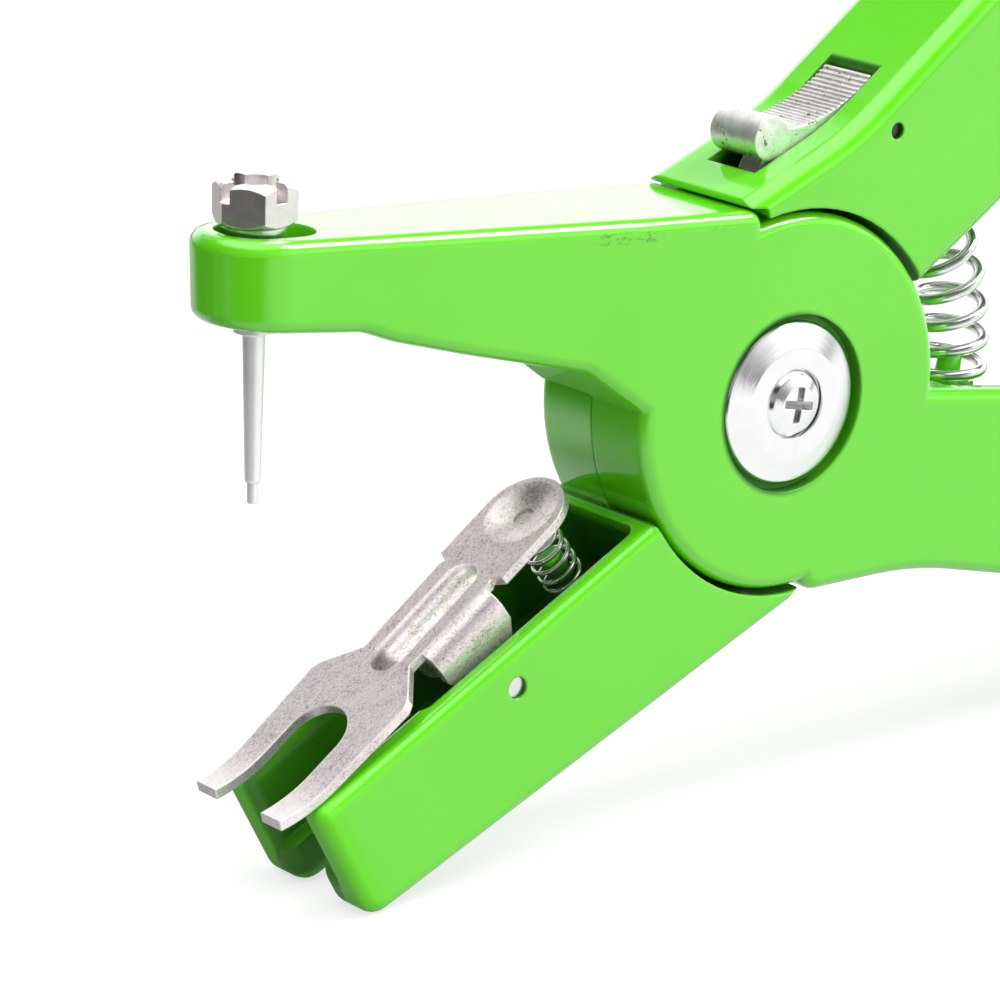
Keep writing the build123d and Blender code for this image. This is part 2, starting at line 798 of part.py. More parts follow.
def clip_pin_place():
    """Place of the pin in the clip's own frame: run along it and depth."""
    slope = radians(clip_slope)
    x = clip_pin_x - (clip_hole_x - clip_hole_along * cos(slope))
    z = clip_pin_z - (clip_hole_z - clip_hole_along * sin(slope))
    return x * cos(slope) + z * sin(slope), x * sin(slope) - z * cos(slope)


def clip_bead(inside):
    """Round topped bead along the clip, or the hollow under it one sheet in."""
    half, height = clip_bead_half_width, clip_bead_height
    radius = (half * half + height * height) / (2 * height)
    centre = height - radius
    first = clip_bead_start + half
    last = clip_bead_end - half
    rod = Pos(first, 0, centre) * Rot(0, 90, 0) * Cylinder(
        radius - inside, last - first, align=(Align.CENTER, Align.CENTER, Align.MIN))
    bead = rod + Pos(first, 0, centre) * Sphere(radius - inside) + Pos(last, 0, centre) * Sphere(radius - inside)
    return bead & Pos(0, 0, -clip_sheet if inside else -0.2) * Box(
        200, 40, 20, align=(Align.CENTER, Align.CENTER, Align.MIN))


def clip_dish(top):
    """Smooth round dish in the clip's tail, hanging from the given height."""
    r, depth = clip_dish_radius, clip_dish_depth
    profile = make_face([
        Line((0, 0, top + 0.5), (0, 0, top - depth)),
        Line((0, 0, top - depth), (1.5, 0, top - depth)),
        Spline((1.5, 0, top - depth), (3.2, 0, top - depth * 0.62), (r, 0, top),
               tangents=((1, 0, 0.1), (1, 0, 0.12))),
        Line((r, 0, top), (r, 0, top + 0.5)),
        Line((r, 0, top + 0.5), (0, 0, top + 0.5)),
    ])
    return Pos(clip_hole_along, 0, 0) * revolve(profile, Axis.Z)


def tag_clip():
    """Folded sheet clip: fork, embossed bead, pin flanges and dished tail."""
    sheet = slab(clip_sheet_side(), -half_width, half_width) & extrude(Pos(0, 0, -10) * clip_plan(), amount=30)
    sheet = sheet + clip_bead(0) + clip_dish(-clip_sheet)
    sheet = sheet - clip_bead(clip_sheet) - clip_dish(0)
    sheet = sheet - Pos(clip_hole_along, 0, -clip_dish_depth - 0.3) * Cylinder(1.4, 3, align=(
        Align.CENTER, Align.CENTER, Align.MIN))
    clip = sheet + clip_flange(1) + clip_flange(-1)
    pin_run, pin_depth = clip_pin_place()
    clip = clip - slab(Pos(pin_run, -pin_depth) * Circle(clip_pin_radius + pivot_fit), -half_width, half_width)
    return clip_frame() * clip


def clip_pin():
    """Pin across the lower jaw, on which the clip rocks."""
    reach = half_width - clip_pin_recess
    return cross_rod(clip_pin_x, clip_pin_z, clip_pin_radius, -reach, reach)


def coil(radius, wire, turns, place, steps=5):
    """Coil of eight-sided wire whose centre line is given by place(fraction)."""
    points = []
    count = int(turns * steps)
    for i in range(count + 1):
        fraction = i / count
        points.append(place(fraction, 2 * pi * turns * fraction, radius))
    path = Spline(*points)
    start = Plane(origin=path @ 0, z_dir=path % 0)
    return sweep(start * RegularPolygon(wire / 2 * 1.04, 8), path=path)


def clip_spring():
    """Compression spring between the channel floor and the clip's tail."""
    low = -clip_spring_floor() + clip_spring_wire / 2 + running_gap + 0.45
    high = -clip_sheet - clip_dish_depth - 0.3 - clip_spring_wire / 2 - running_gap

    def place(fraction, turn, radius):
        return Vector(clip_hole_along + radius * cos(turn), radius * sin(turn), low + (high - low) * fraction)

    return clip_frame() * coil(clip_spring_radius, clip_spring_wire, clip_spring_turns, place)


def return_spring():
    """Compression spring bowed between the two handles."""
    margin = degrees((spring_wire / 2 + seat_gap) / (spring_arc_radius - spring_radius))
    first = spring_start_angle + margin
    last = spring_end_angle - margin

    def place(fraction, turn, radius):
        angle = first + (last - first) * fraction
        x, z = polar(spring_arc_radius + radius * cos(turn), angle)
        return Vector(x, radius * sin(turn), z)

    return coil(spring_radius, spring_wire, spring_turns, place)


def latch_lever():
    """Thumb latch with a round head, a ridged hollow top and a hook below."""
    head = (latch_head_x, latch_head_z)
    top_start = (3.7, 35.2)
    top_end = (18.2, 40.4)
    body = make_face([
        Spline(top_start, (8.0, 35.65), (13.4, 37.6), top_end, tangents=((1, -0.05), (1.0, 0.75))),
        Line(top_end, (19.9, 38.2)),
        Line((19.9, 38.2), (20.6, 34.2)),
        ThreePointArc((20.6, 34.2), (17.9, 31.0), (15.0, 31.6)),
        Line((15.0, 31.6), (5.0, 31.0)),
        Line((5.0, 31.0), (1.6, 31.2)),
        Line((1.6, 31.2), (-1.2, 33.2)),
        Line((-1.2, 33.2), head),
        Line(head, top_start),
    ])
    knob = Pos(*head) * Circle(latch_head_radius)
    lever = slab(body, -latch_half_width, latch_half_width) + slab(knob, -latch_half_width, latch_half_width)
    neck = side_face([
        (0.4, 33.0, 0), (-1.5, 29.6, 1.0), (-1.3, 26.6, 0), (1.7, 26.3, 0), (4.2, 31.5, 0),
    ])
    lever = lever + slab(neck, hook_front_y, hook_rear_y)
    for i in range(latch_ridges):
        fraction = (i + 0.5) / latch_ridges
        x = top_start[0] + 0.9 + (top_end[0] - top_start[0] - 1.2) * fraction
        z = latch_top(x)
        lever = lever - slab(Pos(x, z + 0.1) * Circle(0.27), -far, far)
    lever = lever - cross_rod(latch_pin_x, latch_pin_z, latch_pin_radius + pivot_fit, -far, far)
    lever = lever - cross_rod(latch_pin_x, latch_pin_z, 3.3, -1.6, 1.6)
    return lever


def latch_top(x):
    """Height of the latch's hollow top."""
    return 35.2 + 0.0246 * (x - 3.7) ** 2


def latch_pin():
    """Pin across the upper handle, on which the latch rocks."""
    reach = half_width - latch_pin_recess
    return cross_rod(latch_pin_x, latch_pin_z, latch_pin_radius, -reach, reach)


def latch_spring():
    """Small coil round the latch's pin that lifts the head."""
    radius = 1.95

    def place(fraction, turn, size):
        return Vector(latch_pin_x + size * cos(turn), -1.1 + 2.2 * fraction, latch_pin_z + size * sin(turn))

    return coil(radius, 0.55, 3.0, place)


def build():
    jaw = lower_jaw_slab()
    floor_z = foot_z(jaw)
    pieces = {
        "upper_jaw_casting": upper_jaw_casting(floor_z),
        "lower_jaw_casting": lower_jaw_casting(),
        "pivot_bushing": pivot_bushing(),
        "pivot_front_disc": pivot_disc(-1),
        "pivot_rear_disc": pivot_disc(1),
        "pivot_screw": pivot_screw(),
        "pivot_spring_washer": pivot_spring_washer(),
        "pivot_nut": pivot_nut(),
        "needle": needle(),
        "needle_collar": needle_collar(),
        "needle_nut": needle_nut(),
        "tag_clip": tag_clip(),
        "clip_pin": clip_pin(),
        "clip_spring": clip_spring(),
        "return_spring": return_spring(),
        "latch_lever": latch_lever(),
        "latch_pin": latch_pin(),
        "latch_spring": latch_spring(),
    }
    box = Compound(children=[Compound(p.solids()) for p in pieces.values()]).bounding_box()
    shift = Pos(-(box.min.X + box.max.X) / 2, -(box.min.Y + box.max.Y) / 2, -box.min.Z)
    os.makedirs("parts", exist_ok=True)
    for name, piece in pieces.items():
        export_step(shift * piece, f"parts/{name}.step")
    print("size", box.size, "pivot at", shift.position)


build()
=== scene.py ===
import bpy
import json
from math import cos, degrees, pi, radians, sin
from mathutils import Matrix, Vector


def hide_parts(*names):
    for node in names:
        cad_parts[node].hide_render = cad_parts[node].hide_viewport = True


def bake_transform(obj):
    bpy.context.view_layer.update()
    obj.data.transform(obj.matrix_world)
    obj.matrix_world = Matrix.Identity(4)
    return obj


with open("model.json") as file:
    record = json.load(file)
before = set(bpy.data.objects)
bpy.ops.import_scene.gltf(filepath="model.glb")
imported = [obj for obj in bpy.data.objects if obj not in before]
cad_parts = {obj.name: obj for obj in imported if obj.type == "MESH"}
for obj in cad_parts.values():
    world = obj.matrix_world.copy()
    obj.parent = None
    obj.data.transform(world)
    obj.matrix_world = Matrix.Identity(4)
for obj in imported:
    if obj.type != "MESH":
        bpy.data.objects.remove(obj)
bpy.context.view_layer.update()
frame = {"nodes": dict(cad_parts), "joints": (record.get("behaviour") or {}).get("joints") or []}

nodes = frame["nodes"]
joints = {joint["name"]: joint for joint in frame["joints"]}
pivot = Vector(joints["jaw_pivot"]["pos_m"])  # main pivot axis, half way across the tool
clipPin = Vector(joints["clip_rock"]["pos_m"])
latchPin = Vector(joints["latch_rock"]["pos_m"])
mm = 0.001


def place(x, y, z):
    # millimetres from the main pivot, to a point in the frame
    return pivot + Vector((x, y, z)) * mm


# Shader maths

fullShare = 0.4  # share of a mark's reach where it is at its full strength
bevelSamples = 6
cornerBend = (0.01, 0.12)  # how far a rounded normal leans, from no corner to a corner


class Wire:
    # one output socket, with sums that add Math nodes
    def __init__(self, paint, out):
        self.paint = paint
        self.out = out

    def maths(self, operation, *others):
        values = dict(enumerate((self,) + others))
        return self.paint.node("ShaderNodeMath", {"operation": operation}, values)

    def turned(self, operation, other):
        # the other value comes first
        return self.paint.node("ShaderNodeMath", {"operation": operation}, {0: other, 1: self})

    def __add__(self, other):
        return self.maths("ADD", other)

    def __radd__(self, other):
        return self.maths("ADD", other)

    def __sub__(self, other):
        return self.maths("SUBTRACT", other)

    def __rsub__(self, other):
        return self.turned("SUBTRACT", other)

    def __mul__(self, other):
        return self.maths("MULTIPLY", other)

    def __rmul__(self, other):
        return self.maths("MULTIPLY", other)

    def __pow__(self, other):
        return self.maths("POWER", other)

    def size(self):
        return self.maths("ABSOLUTE")

    def capped(self):
        return self.maths("MINIMUM", 1.0)

    def above(self, low, high):
        # 0 up to low, 1 from high, smooth between them
        return self.paint.node("ShaderNodeMapRange", {"interpolation_type": "SMOOTHSTEP"},
                               {"Value": self, "From Min": low, "From Max": high})

    def below(self, low, high):
        # 1 up to low, 0 from high
        return 1 - self.above(low, high)

    def near(self, centre, reach):
        # 1 at centre, 0 further away than reach
        return (self - centre).size().below(reach * fullShare, reach)


class Sky:
    # a node tree that nodes are added to
    def __init__(self, tree):
        self.tree = tree

    def feed(self, node, socket, value):
        target = node.inputs[socket]
        if isinstance(value, Wire):
            self.tree.links.new(value.out, target)
        elif isinstance(value, tuple) and len(value) == 3 and target.type == "RGBA":
            target.default_value = (*value, 1)
        else:
            target.default_value = value

    def node(self, kind, settings=None, inputs=None, out=0):
        made = self.tree.nodes.new(kind)
        for key, value in (settings or {}).items():
            if key == "stops":
                ramp = made.color_ramp
                while len(ramp.elements) < len(value):
                    ramp.elements.new(0.5)
                for element, (position, colour) in zip(ramp.elements, value):
                    element.position = position
                    element.color = (*colour, 1)
            else:
                setattr(made, key, value)
        for socket, value in (inputs or {}).items():
            self.feed(made, socket, value)
        return Wire(self, made.outputs[out])

    def parts(self, vector):
        # x, y and z of a vector
        x = self.node("ShaderNodeSeparateXYZ", {}, {"Vector": vector}, out="X")
        return x, Wire(self, x.out.node.outputs["Y"]), Wire(self, x.out.node.outputs["Z"])

    def rays(self):
        # 1 for rays from the camera, and 1 for rays that leave a gloss surface
        seen = self.node("ShaderNodeLightPath", out="Is Camera Ray")
        return seen, Wire(self, seen.out.node.outputs["Is Glossy Ray"])


class Paint(Sky):
    # one material with its Principled shader
    def __init__(self, name, settings):
        self.material = bpy.data.materials.new(name)
        self.material.use_nodes = True
        super().__init__(self.material.node_tree)
        self.tree.nodes.clear()
        self.shader = self.tree.nodes.new("ShaderNodeBsdfPrincipled")
        output = self.tree.nodes.new("ShaderNodeOutputMaterial")
        self.tree.links.new(self.shader.outputs[0], output.inputs["Surface"])
        for socket, value in settings.items():
            self.feed(self.shader, socket, value)
        self.spot = self.node("ShaderNodeTexCoord", out="Object")

    def noise(self, scale, detail=2.0, rough=0.5, stretch=None, warp=0.0):
        # noise from 0 to 1 with scale in features per metre
        where = self.spot
        if stretch:
            where = self.node("ShaderNodeMapping", {"vector_type": "TEXTURE"},
                              {"Vector": self.spot, "Scale": stretch})
        return self.node("ShaderNodeTexNoise", {}, {
            "Vector": where, "Scale": scale, "Detail": detail, "Roughness": rough, "Distortion": warp})

    def axes(self, start, tilt=0.0):
        # x, y and z in millimetres from a point, in axes tilted by degrees about y
        return self.parts(self.node("ShaderNodeMapping", {"vector_type": "TEXTURE"}, {
            "Vector": self.spot, "Location": tuple(start), "Rotation": (0, radians(tilt), 0),
            "Scale": (mm, mm, mm)}))

    def mix(self, factor, low, high):
        # colour low where factor is 0, high where it is 1
        made = self.tree.nodes.new("ShaderNodeMix")
        made.data_type = "RGBA"
        self.feed(made, 0, factor)
        self.feed(made, 6, low)
        self.feed(made, 7, high)
        return Wire(self, made.outputs[2])

    def rounded(self, edge):
        # normal of a surface with its corners rounded by edge metres
        return self.node("ShaderNodeBevel", {"samples": bevelSamples}, {"Radius": edge})

    def relief(self, height, depth, edge):
        # bump of depth metres on rounded corners
        self.feed(self.shader, "Normal", self.node("ShaderNodeBump", {}, {
            "Height": height, "Strength": 1.0, "Distance": depth, "Normal": self.rounded(edge)}))

    def edges(self, reach):
        # 1 along outer corners, fading out over reach metres
        bent = self.rounded(reach)
        flat = self.node("ShaderNodeNewGeometry", out="Normal")
        along = self.node("ShaderNodeVectorMath", {"operation": "DOT_PRODUCT"}, {0: bent, 1: flat},
                          out="Value")
        return (1 - along).above(*cornerBend)

    def colour(self, value):
        self.feed(self.shader, "Base Color", value)

    def roughness(self, value):
        self.feed(self.shader, "Roughness", value)

    def coat(self, value):
        self.feed(self.shader, "Coat Weight", value)


# Camera, lights and floor

cameraView = {
    "fromPivot": (-402.2, -464.9, 175.5),  # mm, camera seen from the main pivot
    "azimuth": -37.9,
    "elevation": 17.32,
    "lens": 172.8,
    "sensor": 36,
    "clip": (0.02, 30),  # m, nearest and furthest distance that it shows
}


def makeCamera():
    data = bpy.data.cameras.new("photoCamera")
    data.lens = cameraView["lens"]
    data.sensor_width = cameraView["sensor"]
    data.clip_start, data.clip_end = cameraView["clip"]
    camera = bpy.data.objects.new("photoCamera", data)
    bpy.context.scene.collection.objects.link(camera)
    side, rise = radians(cameraView["azimuth"]), radians(cameraView["elevation"])
    back = Vector((sin(side) * cos(rise), -cos(side) * cos(rise), sin(rise)))
    camera.location = place(*cameraView["fromPivot"])
    camera.rotation_mode = "QUATERNION"
    camera.rotation_quaternion = (-back).to_track_quat("-Z", "Y")
    bpy.context.scene.camera = camera


# distances in metres from the main pivot, powers in watts
lamps = {
    "key": {"from": (0.60, -0.30, 0.77), "away": 1.3, "size": 0.55, "power": 14.0, "seen": True},
    "front": {"from": (0.05, -0.95, 0.28), "away": 1.4, "size": 1.1, "power": 14.3, "seen": False},
    "top": {"from": (-0.32, 0.02, 0.95), "away": 1.3, "size": 0.9, "power": 12.0, "seen": False},
    "back": {"from": (-0.10, 0.90, 0.45), "away": 1.4, "size": 1.0, "power": 7.5, "seen": False},
}


def makeLight(name):
    about = lamps[name]
    data = bpy.data.lights.new(name, "AREA")
    data.shape = "SQUARE"
    data.size = about["size"]
    data.energy = about["power"]
    lamp = bpy.data.objects.new(name, data)
    bpy.context.scene.collection.objects.link(lamp)
    towards = Vector(about["from"]).normalized()
    lamp.location = place(0, 0, 0) + towards * about["away"]
    lamp.rotation_mode = "QUATERNION"
    lamp.rotation_quaternion = (-towards).to_track_quat("-Z", "Y")
    lamp.visible_glossy = about["seen"]


# matt surfaces get the plain room, gloss sees brightness that changes with the direction
room = {
    "plain": 0.22,
    "view": (-0.614, -0.789),  # x and y of the direction to the camera
    "behind": 1.55,  # behind the tool
    "beside": 1.3,
    "besideFrom": (-0.35, 0.15),
    "front": 0.30,  # around the camera
    "frontFrom": (0.30, 0.75),
    "left": 0.06,
    "leftTo": (-0.55, 0.15),
    "leftToFront": (0.2, -0.2),
    "ground": 0.25,  # share that is left at the horizon
    "groundTo": (0.0, 0.12),
    "slope": 0.06,  # halfway up
    "slopeFrom": (0.38, 0.54),
    "screenRight": (0.05, 0.25),
    "screenBack": (0.62, 0.74),
    "panel": 1.1,
    "panelAcross": (-0.06, 0.10),
    "panelBack": (0.75, 0.12),
    "top": 2.2,
    "topFrom": (0.74, 0.90),
}


def makeWorld():
    world = bpy.data.worlds.new("studioWorld")
    world.use_nodes = True
    tree = world.node_tree
    tree.nodes.clear()
    sky = Sky(tree)
    x, y, z = sky.parts(sky.node("ShaderNodeTexCoord", out="Generated"))
    faced = room["view"][0] * x + room["view"][1] * y  # 1 behind the camera, -1 behind the tool
    low = room["behind"] + (room["beside"] - room["behind"]) * faced.above(*room["besideFrom"])
    low = low + (room["front"] - room["beside"]) * faced.above(*room["frontFrom"])
    lit = (x.above(*room["leftTo"]) + y.above(*room["leftToFront"])).capped()
    low = room["left"] + (low - room["left"]) * lit
    low = low * (room["ground"] + (1 - room["ground"]) * z.above(*room["groundTo"]))
    high = z.above(*room["slopeFrom"])
    screen = x.above(*room["screenRight"]) * y.above(*room["screenBack"])
    panel = room["panel"] * x.near(*room["panelAcross"]) * y.near(*room["panelBack"])
    glossy = low * (1 - high) + (room["slope"] + screen + panel) * high
    glossy = glossy + room["top"] * z.above(*room["topFrom"])
    seen, shiny = sky.rays()
    strength = room["plain"] * (1 - shiny) + glossy * shiny
    strength = strength * (1 - seen) + seen
    background = sky.node("ShaderNodeBackground", {}, {"Color": (1, 1, 1, 1), "Strength": strength})
    output = tree.nodes.new("ShaderNodeOutputWorld")
    tree.links.new(background.out, output.inputs["Surface"])
    bpy.context.scene.world = world


# metres in x and y, where reflections of the floor fade into the dark
floorCard = {
    "size": 8,
    "colour": (0.34, 0.34, 0.34),
    "dark": (0.03, 0.03, 0.03),
    "glowSeen": 0.70,
    "glowMirrored": 0.42,
    "left": (-0.26, -0.13),
    "strip": (0.02, 0.13),
    "stripShare": 0.35,
    "patchLeft": (-0.10, -0.06),
    "patch": (0.04, 0.06),
    "patchShare": 0.6,
    "far": (0.10, 0.25),
    "farShare": 0.4,
}


def makeFloor():
    about = floorCard
    bpy.ops.object.select_all(action="DESELECT")
    bpy.ops.mesh.primitive_plane_add(size=about["size"], location=(0, 0, 0))
    floor = bpy.context.object
    floor.name = "studioFloor"
    paint = Paint("floorCard", {"Roughness": 0.9, "Specular IOR Level": 0.1, "Emission Strength": 1.0})
    seen, shiny = paint.rays()
    x, y, _ = paint.parts(paint.spot)
    lit = (x.above(*about["left"]) + about["stripShare"] * y.near(*about["strip"])).capped()
    lit = lit * (1 - about["patchShare"] * x.below(*about["patchLeft"]) * y.near(*about["patch"]))
    lit = lit * (1 - about["farShare"] * y.above(*about["far"]))
    # for gloss rays the floor is dark outside the lit zones and glows inside them: painted light and
    # shade that only reflections show
    paint.colour(paint.mix(shiny * (1 - lit), about["colour"], about["dark"]))
    glow = about["glowSeen"] * seen + about["glowMirrored"] * shiny * lit
    paint.feed(paint.shader, "Emission Color", paint.mix(glow, (0, 0, 0), (1, 1, 1)))
    floor.data.materials.append(paint.material)


# Materials. A noise entry is its scale, detail and roughness.
# An entry for above or below has both of its ends, one for near has its centre and reach.

limePaint = {
    "fresh": (0.128, 0.665, 0.008),
    "deep": (0.114, 0.630, 0.006),
    "scuff": (0.035, 0.110, 0.012),
    "shade": (0.020, 0.150, 0.004),  # painted shade deep in the channel, slot, window, gaps, pin holes and the disc's seat
    "broad": (28, 3, 0.6),
    "broadFrom": (0.35, 0.70),
    "specks": (1900, 2, 0.6),
    "specksFrom": (0.735, 0.77),
    "speckGroups": (120, 2, 0.6),
    "groupsFrom": (0.50, 0.66),
    "speckTone": 0.5,
    "roughness": 0.15,
    "roughPatches": (190, 3, 0.6),
    "roughPatchShare": 0.05,
    "roughSpecks": 0.25,
    "peel": (900, 2, 0.5),
    "waves": (240, 1, 0.5),
    "waveShare": 0.35,
    "peelDepth": 0.000010,
    "edge": 0.0006,
}


def makeLimePaint(name):
    # gloss powder coat with faint orange peel
    about = limePaint
    paint = Paint(name, {"Specular IOR Level": 0.5, "Coat Roughness": 0.02, "Coat Weight": 1.0})
    broad = paint.noise(*about["broad"])
    specks = paint.noise(*about["specks"]).above(*about["specksFrom"])
    specks = specks * paint.noise(*about["speckGroups"]).above(*about["groupsFrom"])
    base = paint.mix(broad.above(*about["broadFrom"]), about["deep"], about["fresh"])
    base = paint.mix(specks * about["speckTone"], base, about["scuff"])
    rough = about["roughness"] + about["roughPatchShare"] * paint.noise(*about["roughPatches"])
    rough = rough + about["roughSpecks"] * specks
    peel = paint.noise(*about["peel"]) + about["waveShare"] * paint.noise(*about["waves"])
    paint.relief(peel, about["peelDepth"], about["edge"])
    return paint, base, rough


def ringOf(x, z):
    return (x * x + z * z) ** 0.5


# mm from the main pivot
upperMarks = {
    "rim": {"slope": 0.0767, "x": -28.7, "z": 26.75},  # line under the top edge that the scuffs follow
    "face": (-11.2, 1.2),
    "smear": {"scale": 1500, "detail": 4, "rough": 0.75, "stretch": (1.8, 1, 0.9)},
    "smearFrom": (0.53, 0.60),
    "patch": {"x": (-28.1, 7.0), "rim": (0.0, 1.0), "share": 0.9},
    "faint": {"x": (-12.2, 2.4), "rim": (0.1, 0.5), "share": 0.4},
    "scratch": {"x": (-10.5, 4.8), "y": (-8.4, 0.16), "lean": 0.12, "z": (25.5, 26.0), "tone": 0.5},
    "under": {"x": (-24.0, 24.0), "z": (8.0, 16.0), "y": (-10.3, -9.6), "share": 0.85},  # slanted facet
    "gap": {"ring": (25.35, 0.5), "y": (-10.2, -9.4), "z": (-20.0, -17.0), "tone": 0.9},  # painted shade in the gap at the drum
    "lip": {"ring": (11.5, 1.3), "x": (-4.0, 8.0)},  # painted shade around the cover disc's seat
    # painted shade on the floor of the cover disc's seat
    "seat": {"ring": (11.6, 0.9), "y": (-10.9, -10.5), "share": 0.7},
    "recessShadeTone": 0.93,
    "roughness": 0.3,
    "underRoughness": 0.35,
}


def makeUpperPaint():
    paint, base, rough = makeLimePaint("limePaintUpper")
    marks = upperMarks
    x, y, z = paint.axes(pivot)
    line = marks["rim"]
    rim = z + line["slope"] * (x - line["x"]) - line["z"]

    def scuffs(name):
        about = marks[name]
        return x.near(*about["x"]) * rim.near(*about["rim"]) * y.near(*marks["face"]) * about["share"]

    smear = paint.noise(**marks["smear"]).above(*marks["smearFrom"])
    scuffed = (scuffs("patch") + scuffs("faint")) * smear
    ring = ringOf(x, z)
    about = marks["under"]
    under = x.near(*about["x"]) * z.near(*about["z"]) * y.above(*about["y"])
    about = marks["gap"]
    gap = ring.near(*about["ring"]) * y.above(*about["y"]) * z.below(*about["z"])
    lip = ring.near(*marks["lip"]["ring"]) * x.below(*marks["lip"]["x"])
    about = marks["seat"]
    recess = (lip + about["share"] * ring.near(*about["ring"]) * y.above(*about["y"])).capped()
    dull = (marks["under"]["share"] * under + gap + recess).capped()
    about = marks["scratch"]
    centre, reach = about["y"]
    leant = y - centre + about["lean"] * (x - about["x"][0])
    scratch = x.near(*about["x"]) * leant.near(0, reach) * z.above(*about["z"])
    # painted shade: the gap and the cover disc's seat darken towards the shade colour
    base = paint.mix(marks["gap"]["tone"] * gap + marks["recessShadeTone"] * recess, base, limePaint["shade"])
    paint.colour(paint.mix(scuffed + about["tone"] * scratch, base, limePaint["scuff"]))
    rough = rough + marks["roughness"] * (scuffed + scratch + dull)
    paint.roughness(rough + marks["underRoughness"] * under)
    paint.coat(1 - dull)
    return paint.material


# mm, the channel and slot along and out of the jaw's top edge, the rest from the main pivot; the
# channel, slot, gap, window and hole tones are painted shade
lowerMarks = {
    "edge": (-26.0, 0, -13.9),
    "tilt": -27.0,
    "channelEnds": ((-38.5, -37.0), (2.2, 2.4)),
    "channelSides": (8.5, 8.6),
    "channelTop": (-2.4, -0.4),
    "floor": (-16.5, -15.5),
    "channelTone": 0.93,
    "slotSides": (6.4, 7.4),
    "slotTop": (-1.3, 0.1),
    "slotTone": 0.80,
    "tip": (-57.0, -52.0),
    "gap": {"ring": (26.1, 0.5), "y": (-10.6, -10.2), "tone": 0.9},
    "windowEnds": ((-2.6, -2.2), (19.6, 20.0)),
    "windowSides": (4.9, 5.0),
    "windowBottom": (20.0, 22.0),
    "windowTone": 0.96,
    "handleTop": {"x": -9.3, "z": 27.4, "slope": 0.387, "bendX": 10.4, "bend": 0.55},
    "windowRim": (-1.8, -0.5),
    "holes": {"clip": 1.6, "latch": 1.2, "soft": 0.2, "y": (-10.9, -10.6), "tone": 0.9},
    "roughness": 0.25,
    "coat": 0.9,
}


def windowDepth(x, z):
    # 0 on the top of the upper handle, 1 from where the window's rim ends
    about = lowerMarks["handleTop"]
    top = about["z"] + about["slope"] * (x - about["x"])
    top = top + about["bend"] * (x - about["bendX"]).maths("MAXIMUM", 0.0)
    return (z - top).below(*lowerMarks["windowRim"])


def pinHole(x, z, pin, radius):
    # 1 inside a round hole about a pin
    across, up = x - (pin.x - pivot.x) / mm, z - (pin.z - pivot.z) / mm
    return ringOf(across, up).below(radius, radius + lowerMarks["holes"]["soft"])


def makeLowerPaint():
    paint, base, rough = makeLimePaint("limePaintLower")
    marks = lowerMarks
    x, y, z = paint.axes(place(*marks["edge"]), marks["tilt"])
    first, last = marks["channelEnds"]
    sunk = z.below(*marks["channelTop"]) * z.above(*marks["floor"])
    channel = sunk * (x.above(*first) * x.below(*last) * y.size().below(*marks["channelSides"]))
    slot = x.below(*first) * y.size().below(*marks["slotSides"])
    slot = slot * z.below(*marks["slotTop"]) * z.above(*marks["floor"])
    tip = x.below(*marks["tip"])
    across, deep, up = paint.axes(pivot)
    gap = ringOf(across, up).near(*marks["gap"]["ring"]) * deep.above(*marks["gap"]["y"])
    first, last = marks["windowEnds"]
    window = windowDepth(across, up) * across.above(*first) * across.below(*last)
    window = window * deep.size().below(*marks["windowSides"]) * up.above(*marks["windowBottom"])
    about = marks["holes"]
    holes = pinHole(across, up, clipPin, about["clip"]) + pinHole(across, up, latchPin, about["latch"])
    holes = holes * deep.above(*about["y"])
    dull = (tip + slot + gap + window + holes).capped()
    # painted shade in the gap, the window and the pin holes
    paintedShade = marks["gap"]["tone"] * gap + marks["windowTone"] * window + about["tone"] * holes
    base = paint.mix(paintedShade, base, limePaint["shade"])
    # painted shade in the channel and the slot
    base = paint.mix(channel * marks["channelTone"], base, limePaint["shade"])
    paint.colour(paint.mix(slot * marks["slotTone"], base, limePaint["shade"]))
    paint.roughness(rough + marks["roughness"] * (channel + dull))
    paint.coat(1 - marks["coat"] * dull)
    return paint.material


turnedChrome = {
    "dark": (0.88, 0.88, 0.89),
    "light": (1.0, 1.0, 1.0),
    "lines": {"Scale": 7.0, "Detail": 5.0, "Roughness": 0.7},  # rings that the tool left
    "haze": (300, 3, 0.6),
    "handled": {"scale": 95, "detail": 4, "rough": 0.7, "warp": 0.6},
    "handledFrom": (0.58, 0.72),
    "roughness": 0.05,
    "roughLines": 0.06,
    "roughHaze": 0.03,
    "roughHandled": 0.07,
    "hazeDepth": 0.2,
    "depth": 0.000014,
    "edge": 0.0003,
}


def makeChrome():
    about = turnedChrome
    paint = Paint("turnedChrome", {"Metallic": 1.0, "Specular IOR Level": 0.5})
    x, _, z = paint.axes(pivot)
    lines = paint.node("ShaderNodeTexNoise", {"noise_dimensions": "1D"},
                       {"W": ringOf(x, z), **about["lines"]})
    haze = paint.noise(*about["haze"])
    handled = paint.noise(**about["handled"]).above(*about["handledFrom"])
    paint.colour(paint.mix(haze, about["dark"], about["light"]))
    rough = about["roughness"] + about["roughLines"] * lines + about["roughHaze"] * haze
    paint.roughness(rough + about["roughHandled"] * handled)
    paint.relief(lines + about["hazeDepth"] * haze, about["depth"], about["edge"])
    return paint.material


